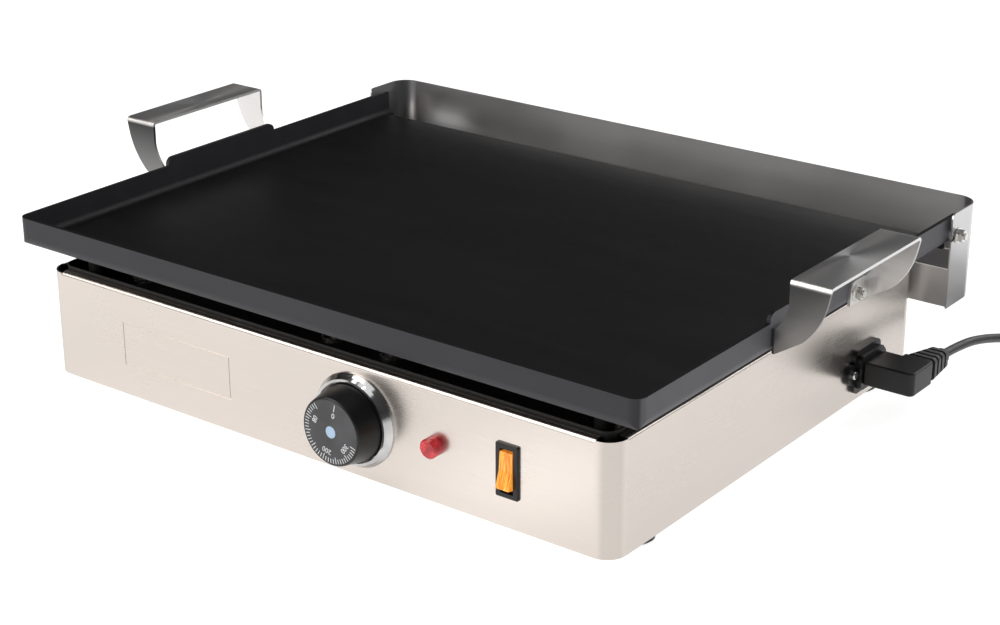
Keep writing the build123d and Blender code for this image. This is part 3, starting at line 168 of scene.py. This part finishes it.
# ---- materials ------------------------------------------------------------------------------
def brushed(name, colour, roughness, grain=1.0, stretch=0.35, turn=0.0):
    """Shader of stainless sheet: fine horizontal grain, faint smudges and painted shade on the rounded
    corners.
    """
    s = Shader(name)
    along_x = s.noise(160.0, 5.0, 0.65, (0.10, 9.0, 9.0))
    along_y = s.noise(160.0, 5.0, 0.65, (9.0, 0.10, 9.0))
    normal = s.tree.nodes.new("ShaderNodeNewGeometry").outputs["Normal"]
    parts = s.tree.nodes.new("ShaderNodeSeparateXYZ")
    s.link(normal, parts.inputs["Vector"])
    across, along = s.math("ABSOLUTE", parts.outputs["X"]), s.math("ABSOLUTE", parts.outputs["Y"])
    side = s.spread(across, 0.0, 1.0, 0.6, 0.8)
    line = s.math("ADD", s.math("MULTIPLY", along_y, side),
                  s.math("MULTIPLY", along_x, s.math("SUBTRACT", 1.0, side)))
    corner = s.spread(s.math("MINIMUM", across, along), 0.0, 1.0, 0.15, 0.40)
    smudge = s.noise(9.0, 4.0, 0.55)
    dark = tuple(c * (1 - 0.06 * grain) for c in colour)
    # painted shade: rounded corners are painted 16% darker, standing in for a darker reflection there
    painted_shade_tone = tuple(c * 0.84 for c in colour)
    s.colour(s.mix(corner, s.mix(s.spread(line, 0.0, 1.0, 0.35, 0.65), dark, colour), painted_shade_tone))
    s.rough(s.math("ADD", s.spread(line, roughness - 0.03 * grain, roughness + 0.03 * grain, 0.3, 0.7),
                   s.spread(smudge, -0.04, 0.05, 0.3, 0.7)))
    s.bump(line, 0.05 * grain, 0.00005)
    s.set(Metallic=1.0, Anisotropic=stretch, Anisotropic_Rotation=turn)
    tangent = s.tree.nodes.new("ShaderNodeTangent")
    tangent.direction_type = "RADIAL"
    tangent.axis = "Z"
    s.link(tangent.outputs["Tangent"], s.bsdf.inputs["Tangent"])
    return s


def brushed_steel(*settings):
    """Finished material of brushed sheet."""
    return brushed(*settings).material


def handle_steel(name, foot_shade_tone, top_shade_tone):
    """Brushed handle strip whose front leg below the grip carries painted shade, darker than the grip, from
    its foot to its top.
    """
    s = brushed(name, (0.72, 0.71, 0.70), 0.34, 0.8, 0.7, 0.25)
    polish = s.bsdf.inputs["Base Color"].links[0].from_socket
    place = s.tree.nodes.new("ShaderNodeSeparateXYZ")
    s.link(s.coords, place.inputs["Vector"])
    front = handle_lo[1]
    front_leg = s.spread(place.outputs["Y"], 1.0, 0.0, front + SHEET, front + 2 * SHEET)
    below_grip = s.spread(place.outputs["Z"], 1.0, 0.0, handle_hi[2] - 0.004, handle_hi[2] - 0.002)
    height = s.spread(place.outputs["Z"], 0.0, 1.0, handle_lo[2] + 0.01, handle_hi[2] - 0.004)
    # painted shade on the front leg, standing in for a dark reflection: one tone at its foot, a darker one
    # at its top
    painted_shade_tone = s.mix(height, (foot_shade_tone,) * 3, (top_shade_tone,) * 3)
    s.colour(s.mix(s.math("MULTIPLY", front_leg, below_grip), polish, painted_shade_tone))
    return s.material


def plated_steel(name, colour=(0.80, 0.79, 0.76), roughness=0.24):
    """Zinc-plated fixings: slightly blotchy and lightly worn."""
    s = Shader(name)
    blotch = s.noise(400.0, 4.0)
    s.colour(s.mix(s.spread(blotch, 0.0, 1.0, 0.4, 0.7), tuple(c * 0.82 for c in colour), colour))
    s.rough(s.spread(blotch, roughness - 0.05, roughness + 0.12, 0.3, 0.7))
    s.bump(blotch, 0.08, 0.0001)
    s.set(Metallic=1.0)
    return s.material


def threaded_steel(name):
    """Plated stud with thread rings along X; the dark bands are painted shade in the thread grooves."""
    s = Shader(name)
    wave = s.tree.nodes.new("ShaderNodeTexWave")
    wave.bands_direction = "X"
    wave.inputs["Scale"].default_value = 2 * pi / 20 / THREAD_PITCH
    s.link(s.coords, wave.inputs["Vector"])
    # painted shade: dark bands of the thread rings
    s.colour(s.mix(wave.outputs["Fac"], (0.30, 0.29, 0.28), (0.74, 0.73, 0.71)))
    s.rough(s.spread(wave.outputs["Fac"], 0.45, 0.22))
    s.bump(wave.outputs["Fac"], 0.35, 0.0002)
    s.set(Metallic=1.0)
    return s.material


def black_enamel(name):
    """Satin black plate: fine orange peel, faint wipe marks, walls painted greyer than the cooking surface
    as painted sheen, and the outer right wall lighter still as a painted reflection.
    """
    s = Shader(name)
    peel = s.noise(900.0, 3.0)
    wipe = s.noise(14.0, 5.0, 0.6, (0.5, 2.2, 1.0))
    surface = s.mix(s.spread(wipe, 0.0, 1.0, 0.35, 0.7), (0.0025, 0.0025, 0.0032), (0.0052, 0.0050, 0.0060))
    # painted sheen: walls painted greyer than the cooking surface, standing in for a reflection of the
    # floor
    wall_painted_sheen = s.mix(s.spread(wipe, 0.0, 1.0, 0.35, 0.7), (0.032, 0.032, 0.036), (0.040, 0.040, 0.045))
    parts = s.tree.nodes.new("ShaderNodeSeparateXYZ")
    s.link(s.tree.nodes.new("ShaderNodeNewGeometry").outputs["Normal"], parts.inputs["Vector"])
    place = s.tree.nodes.new("ShaderNodeSeparateXYZ")
    s.link(s.coords, place.inputs["Vector"])
    # painted reflection: the outer right wall is painted lighter still
    outer_right = s.spread(place.outputs["X"], 0.0, 1.0, plate_hi[0] - 0.002, plate_hi[0] - 0.001)
    side_painted_reflection = s.math("MULTIPLY", s.spread(parts.outputs["X"], 0.0, 1.0, 0.3, 0.9), outer_right)
    level = s.spread(parts.outputs["Z"], 0.0, 1.0, 0.3, 0.8)
    s.colour(s.mix(level, s.mix(side_painted_reflection, wall_painted_sheen, (0.11, 0.11, 0.12)), surface))
    s.rough(s.math("ADD", s.spread(wipe, 0.46, 0.56, 0.3, 0.7), s.spread(peel, -0.03, 0.03, 0.3, 0.7)))
    s.bump(peel, 0.12, 0.00008)
    s.set(IOR=1.28)
    return s.material


def black_sheet(name):
    """Matt heat-resistant black coating, slightly dusty."""
    s = Shader(name)
    dust = s.noise(60.0, 6.0)
    s.colour(s.mix(s.spread(dust, 0.0, 1.0, 0.4, 0.75), (0.006, 0.006, 0.006), (0.013, 0.012, 0.011)))
    s.rough(s.spread(dust, 0.55, 0.75, 0.3, 0.7))
    s.bump(dust, 0.1, 0.0002)
    return s.material


def black_plastic(name, colour=(0.004, 0.004, 0.0045), roughness=0.34, scale=1500.0):
    """Moulded black plastic with a fine spark-eroded texture."""
    s = Shader(name)
    grain = s.cells(scale)
    cloud = s.noise(45.0, 3.0)
    light = tuple(c * 1.7 for c in colour)
    s.colour(s.mix(s.spread(cloud, 0.0, 1.0, 0.35, 0.7), colour, light))
    s.rough(s.math("ADD", s.spread(grain, -0.04, 0.04, 0.0, 0.8),
                   s.spread(cloud, roughness - 0.03, roughness + 0.06)))
    s.bump(grain, 0.15, 0.00005)
    s.set(IOR=1.4)
    return s.material


def polished_chrome(name):
    """Bright chrome with faint haze."""
    s = Shader(name)
    haze = s.noise(80.0, 4.0)
    s.colour(s.mix(s.spread(haze, 0.0, 1.0, 0.4, 0.7), (0.42, 0.42, 0.42), (0.54, 0.54, 0.54)))
    s.rough(s.spread(haze, 0.05, 0.13, 0.3, 0.7))
    s.set(Metallic=1.0)
    return s.material


def tinted_plastic(name, deep, light, glow, roughness=0.18, stretch=(1, 1, 1)):
    """Translucent coloured plastic: cloudy or streaky tone, and a little light of its own."""
    s = Shader(name)
    cloud = s.noise(260.0, 3.0, 0.55, stretch)
    tone = s.mix(s.spread(cloud, 0.0, 1.0, 0.38, 0.62), deep, light)
    s.colour(tone)
    s.rough(s.spread(cloud, roughness, roughness + 0.1, 0.3, 0.7))
    s.set(Transmission_Weight=0.25, IOR=1.49, Subsurface_Weight=0.35, Subsurface_Scale=0.004)
    s.bsdf.inputs["Subsurface Radius"].default_value = (1.0, 0.35, 0.15)
    s.link(tone, s.bsdf.inputs["Emission Color"])
    s.set(Emission_Strength=glow)
    return s.material


def soft_rubber(name, colour=(0.012, 0.012, 0.012), roughness=0.55):
    """Rubber or PVC jacket with a soft uneven sheen."""
    s = Shader(name)
    cloud = s.noise(180.0, 5.0)
    s.colour(s.mix(s.spread(cloud, 0.0, 1.0, 0.35, 0.7), colour, tuple(c * 1.8 for c in colour)))
    s.rough(s.spread(cloud, roughness - 0.08, roughness + 0.1, 0.3, 0.7))
    s.bump(cloud, 0.12, 0.0001)
    s.set(Sheen_Weight=0.1)
    return s.material


def element_sheath(name):
    """Heat-tinted tubular element sheath."""
    s = Shader(name)
    tint = s.noise(35.0, 4.0)
    s.colour(s.mix(s.spread(tint, 0.0, 1.0, 0.35, 0.65), (0.10, 0.085, 0.07), (0.22, 0.19, 0.15)))
    s.rough(s.spread(tint, 0.45, 0.65, 0.3, 0.7))
    s.bump(s.noise(500.0, 3.0), 0.12, 0.0001)
    s.set(Metallic=0.8)
    return s.material


def warm_metal(name, colour, roughness=0.3):
    """Brass or copper, a little tarnished."""
    s = Shader(name)
    tarnish = s.noise(120.0, 5.0)
    s.colour(s.mix(s.spread(tarnish, 0.0, 1.0, 0.4, 0.7), colour, tuple(c * 0.6 for c in colour)))
    s.rough(s.spread(tarnish, roughness, roughness + 0.2, 0.3, 0.7))
    s.set(Metallic=1.0)
    return s.material


def ceramic(name):
    """Off-white insulator body with fine specks."""
    s = Shader(name)
    speck = s.noise(600.0, 4.0)
    s.colour(s.mix(s.spread(speck, 0.0, 1.0, 0.4, 0.7), (0.78, 0.74, 0.65), (0.62, 0.58, 0.50)))
    s.rough(s.spread(speck, 0.5, 0.7, 0.3, 0.7))
    s.bump(speck, 0.1, 0.0001)
    return s.material


def print_ink(name, colour):
    """Matt printed marking, slightly uneven in cover."""
    s = Shader(name)
    cover = s.noise(1200.0, 3.0)
    s.colour(s.mix(s.spread(cover, 0.0, 1.0, 0.3, 0.6), tuple(c * 0.85 for c in colour), colour))
    s.rough(s.spread(cover, 0.5, 0.6, 0.3, 0.7))
    return s.material


STEEL_COLOUR = (0.635, 0.58, 0.535)
MATERIALS = {
    "stainless_brushed": brushed_steel("casing_steel", STEEL_COLOUR, 0.25, 0.6),
    "plated_steel": plated_steel("plated_steel"),
    "black_enamel": black_enamel("black_enamel"),
    # handle_steel: the front leg's painted shade runs from 0.34 at its foot to 0.14 at its top
    "handle_steel": handle_steel("handle_steel", 0.34, 0.14),
    "black_sheet": black_sheet("black_sheet"),
    "element_sheath": element_sheath("element_sheath"),
    "chrome": polished_chrome("chrome"),
    "black_plastic": black_plastic("black_plastic"),
    "dial_grey": black_plastic("dial_grey", (0.042, 0.043, 0.046), 0.42),
    "red_lens": tinted_plastic("red_lens", (0.34, 0.010, 0.016), (0.62, 0.045, 0.055), 0.16),
    "amber_rocker": tinted_plastic(
        "amber_rocker", (0.66, 0.15, 0.004), (0.95, 0.50, 0.07), 0.35, 0.18, (4.0, 1.0, 0.25)
    ),
    "rubber": soft_rubber("rubber"),
    "ceramic": ceramic("ceramic"),
    "brass": warm_metal("brass", (0.78, 0.58, 0.27)),
    "copper": warm_metal("copper", (0.78, 0.42, 0.26)),
    "glass_capsule": tinted_plastic("neon_glass", (0.80, 0.45, 0.30), (0.90, 0.60, 0.42), 0.2, 0.05),
    "wire_insulation": soft_rubber("wire_insulation", (0.42, 0.40, 0.36), 0.5),
    "cord_jacket": soft_rubber("cord_jacket", (0.010, 0.010, 0.011), 0.42),
}


def paint(obj, material):
    """Gives an object this one material."""
    obj.data.materials.clear()
    obj.data.materials.append(material)


def paint_nodes():
    """Every CAD node takes the look of its material slot."""
    for part in frame["record"]["subparts"]:
        paint(NODES[part["node"]], MATERIALS[part["material_slot"]])
    # painted shade: guard and trough take a greyer, darker copy of the stainless colour
    guard_shaded_steel = brushed_steel("guard_shaded_steel", (0.57, 0.57, 0.575), 0.32, 0.5, 0.6, 0.25)
    for node in ("splash_guard", "grease_trough"):
        paint(NODES[node], guard_shaded_steel)
    # the left handle's front leg takes deeper painted shade, 0.22 at its foot to 0.05 at its top
    paint(NODES["handle_left"], handle_steel("handle_left_steel", 0.22, 0.05))
    paint(NODES["wall_studs"], threaded_steel("threaded_steel"))


# ---- new pieces -----------------------------------------------------------------------------
def new_piece(name, bm, material, body):
    """Finished mesh object that rides a body."""
    mesh = bpy.data.meshes.new(name)
    bm.to_mesh(mesh)
    bm.free()
    obj = bpy.data.objects.new(name, mesh)
    bpy.context.collection.objects.link(obj)
    obj.data.materials.append(material)
    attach(obj, body)
    return obj


# ---- power cord -----------------------------------------------------------------------------
COIL_X = (coil_lo[0] + coil_hi[0]) / 2
COIL_Y = (coil_lo[1] + coil_hi[1]) / 2
COIL_R = (coil_hi[0] - coil_lo[0]) / 2 - CORD_D
LAY_Z = coil_lo[2] + CORD_D / 2
COIL_TURNS = 5.5
# column (-1 inner, 1 outer) and layer of each turn of the coil
COIL_PLACES = [(1, 0), (-1, 0), (-1, 1), (1, 1), (-1, 2), (1, 2)]
STEPS_PER_TURN = 16
EXIT = (0.273, behind(0.360), BASE_Z + 0.020)
LEAD_ROUTE = [
    EXIT, (0.274, behind(0.391), 0.026), (0.278, behind(0.423), 0.020), (0.2835, behind(0.457), 0.010),
    (0.2885, behind(0.491), LAY_Z),
]
TAIL_ROUTE = [
    (0.3696, behind(0.504), 0.0152), (0.372, behind(0.481), 0.0166), (0.373, behind(0.460), 0.0185),
]


def coil_points():
    """Turns of the put-away length, clockwise from above, starting at the coil's left."""
    points = []
    for step in range(int(COIL_TURNS * STEPS_PER_TURN) + 1):
        turn = step / STEPS_PER_TURN
        index = min(int(turn), len(COIL_PLACES) - 1)
        following = COIL_PLACES[min(index + 1, len(COIL_PLACES) - 1)]
        ease = max(0.0, (turn - index - 0.7) / 0.3) if index < COIL_TURNS - 1 else 0.0
        ease = ease * ease * (3 - 2 * ease)
        column = COIL_PLACES[index][0] * (1 - ease) + following[0] * ease
        layer = COIL_PLACES[index][1] * (1 - ease) + following[1] * ease
        radius = COIL_R + column * CORD_D / 2
        angle = pi - 2 * pi * turn
        height = LAY_Z + layer * CORD_D
        points.append((COIL_X + radius * cos(angle), COIL_Y + radius * sin(angle), height))
    return points


def add_cord():
    """One length of mains cord: down from the connector, round the coil and into the plug."""
    data = bpy.data.curves.new("mains_cord", "CURVE")
    data.dimensions = "3D"
    data.bevel_depth = CORD_D / 2
    data.bevel_resolution = 5
    data.use_fill_caps = True
    points = LEAD_ROUTE + coil_points() + TAIL_ROUTE
    spline = data.splines.new("NURBS")
    spline.points.add(len(points) - 1)
    for point, place in zip(spline.points, points):
        point.co = (*place, 1.0)
    spline.order_u = 3
    spline.use_endpoint_u = True
    spline.resolution_u = 8
    data.materials.append(MATERIALS["cord_jacket"])
    obj = bpy.data.objects.new("mains_cord", data)
    bpy.context.collection.objects.link(obj)
    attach(obj, "power_lead")
    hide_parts("cord", "cord_coil", "cord_tail")


# ---- dial markings --------------------------------------------------------------------------
DIAL_X = (knob_lo[0] + knob_hi[0]) / 2
DIAL_Z = (knob_lo[2] + knob_hi[2]) / 2
DIAL_Y = dial_lo[1]
DIAL_R = (dial_hi[0] - dial_lo[0]) / 2
DISC_R = 0.0040           # centre disc
INK_T = 0.00012           # ink and disc stand this far proud


def dial_point(angle, radius):
    """Place on the dial; the angle runs clockwise from the top, as the user sees it."""
    return Vector((DIAL_X + radius * sin(angle), DIAL_Y, DIAL_Z + radius * cos(angle)))


def add_bar(bm, angle, inner, outer, width):
    """Thin radial stroke standing just proud of the dial."""
    middle = dial_point(angle, (inner + outer) / 2) - Vector((0, INK_T / 2, 0))
    turn = Matrix.Rotation(angle, 4, "Y")
    size = Matrix.Diagonal((width, INK_T, outer - inner, 1.0))
    bmesh.ops.create_cube(bm, size=1.0, matrix=Matrix.Translation(middle) @ turn @ size)


def add_number(bm, text, angle, radius, height):
    """Number from the built-in font, its foot towards the dial's centre."""
    data = bpy.data.curves.new("number", "FONT")
    data.body = text
    data.size = height
    data.align_x = "CENTER"
    data.align_y = "CENTER"
    data.extrude = INK_T / 2
    holder = bpy.data.objects.new("number", data)
    mesh = bpy.data.meshes.new_from_object(holder)
    place = Matrix.Translation(dial_point(angle, radius) - Vector((0, INK_T / 2, 0)))
    place = place @ Matrix.Rotation(angle, 4, "Y") @ Matrix.Rotation(pi / 2, 4, "X")
    mesh.transform(place)
    bm.from_mesh(mesh)
    bpy.data.objects.remove(holder)


def add_dial_marks():
    """Scale ticks, three temperatures, an off mark and a plain centre disc."""
    bm = bmesh.new()
    first, last, count = radians(-38), radians(-252), 36
    for i in range(count):
        angle = first + (last - first) * i / (count - 1)
        long = i % 5 == 0
        add_bar(bm, angle, DIAL_R * (0.78 if long else 0.84), DIAL_R * 0.985, 0.00046)
    for text, angle in (("80", -66), ("200", -165), ("300", -234)):
        add_number(bm, text, radians(angle), DIAL_R * 0.64, 0.0050)
    off = radians(12)
    add_bar(bm, off, DIAL_R * 0.70, DIAL_R * 0.92, 0.0006)
    add_number(bm, "0", off, DIAL_R * 0.55, 0.0052)
    new_piece("dial_marks", bm, print_ink("white_ink", (0.74, 0.76, 0.78)), "knob")
    bm = bmesh.new()
    place = Matrix.Translation((DIAL_X, DIAL_Y - INK_T / 2, DIAL_Z)) @ Matrix.Rotation(pi / 2, 4, "X")
    bmesh.ops.create_cone(
        bm, cap_ends=True, segments=48, radius1=DISC_R, radius2=DISC_R * 0.97, depth=INK_T, matrix=place
    )
    new_piece("dial_centre", bm, print_ink("pale_blue_ink", (0.40, 0.54, 0.72)), "knob")


# ---- floor and light ------------------------------------------------------------------------
def add_floor():
    """Pale plain table top, partly lit from within so that it stays white in the photograph."""
    bm = bmesh.new()
    bmesh.ops.create_grid(bm, x_segments=1, y_segments=1, size=9.0)
    mesh = bpy.data.meshes.new("floor")
    bm.to_mesh(mesh)
    bm.free()
    floor = bpy.data.objects.new("floor", mesh)
    bpy.context.collection.objects.link(floor)
    s = Shader("floor")
    s.set(Base_Color=(0.40, 0.40, 0.40, 1.0), Roughness=0.9, Emission_Strength=0.90)
    s.bsdf.inputs["Emission Color"].default_value = (1.0, 1.0, 1.0, 1.0)
    floor.data.materials.append(s.material)


def add_world():
    """Grey studio: brighter towards the horizon, dim overhead."""
    world = bpy.data.worlds.new("studio")
    bpy.context.scene.world = world
    world.use_nodes = True
    tree = world.node_tree
    coords = tree.nodes.new("ShaderNodeTexCoord")
    parts = tree.nodes.new("ShaderNodeSeparateXYZ")
    ramp = tree.nodes.new("ShaderNodeValToRGB")
    tree.links.new(coords.outputs["Generated"], parts.inputs["Vector"])
    tree.links.new(parts.outputs["Z"], ramp.inputs["Fac"])
    stops = ramp.color_ramp.elements
    stops[0].position, stops[0].color = 0.02, (0.85, 0.85, 0.87, 1)
    stops[1].position, stops[1].color = 1.0, (0.12, 0.12, 0.12, 1)
    for height, level in ((0.16, 0.13), (0.34, 0.065), (0.55, 0.07)):
        stops.new(height).color = (level, level, level * 1.02, 1)
    background = tree.nodes["Background"]
    tree.links.new(ramp.outputs["Color"], background.inputs["Color"])


def add_area(name, place, target, size, power, colour=(1, 1, 1)):
    """Rectangular soft box aimed at a point."""
    data = bpy.data.lights.new(name, "AREA")
    data.shape = "RECTANGLE"
    data.size, data.size_y = size
    data.energy = power
    data.color = colour
    light = bpy.data.objects.new(name, data)
    light.location = place
    light.rotation_euler = (Vector(target) - Vector(place)).to_track_quat("-Z", "Y").to_euler()
    bpy.context.collection.objects.link(light)


def add_floor_glow(name, place, target, width, power):
    """Narrow soft spot that brightens a patch of the floor, seen only as a reflection in the steel."""
    data = bpy.data.lights.new(name, "SPOT")
    data.energy = power
    data.spot_size = width
    data.spot_blend = 1.0
    data.shadow_soft_size = 0.05
    light = bpy.data.objects.new(name, data)
    light.location = place
    light.rotation_euler = (Vector(target) - Vector(place)).to_track_quat("-Z", "Y").to_euler()
    bpy.context.collection.objects.link(light)


def add_lights():
    """Soft boxes overhead, in front, at the front left and at the back right, and a floor glow."""
    middle = Vector((0, 0, 0.08))
    front_left = Vector((-0.40, -0.52, 0.60)) * 2.2
    back_right = Vector((0.34, 0.739, 0.52)) * 2.2
    add_area("top_box", (0.3, -0.5, 2.3), middle, (1.4, 1.4), 7)
    add_area("front_box", (-0.4, -2.2, 0.85), middle, (1.1, 0.8), 7, (1.0, 0.98, 0.96))
    add_area("front_left_box", middle + front_left, middle, (1.2, 2.0), 26, (1.0, 0.95, 0.91))
    add_area("back_right_box", middle + back_right, middle, (1.9, 1.5), 22)
    add_floor_glow("front_glow", (0.13, FRONT_Y - 0.30, 1.5), (0.13, FRONT_Y - 0.085, 0), radians(7), 90)


add_camera()
paint_nodes()
add_cord()
add_dial_marks()
add_floor()
add_world()
add_lights()
bpy.context.scene.view_settings.view_transform = "Standard"
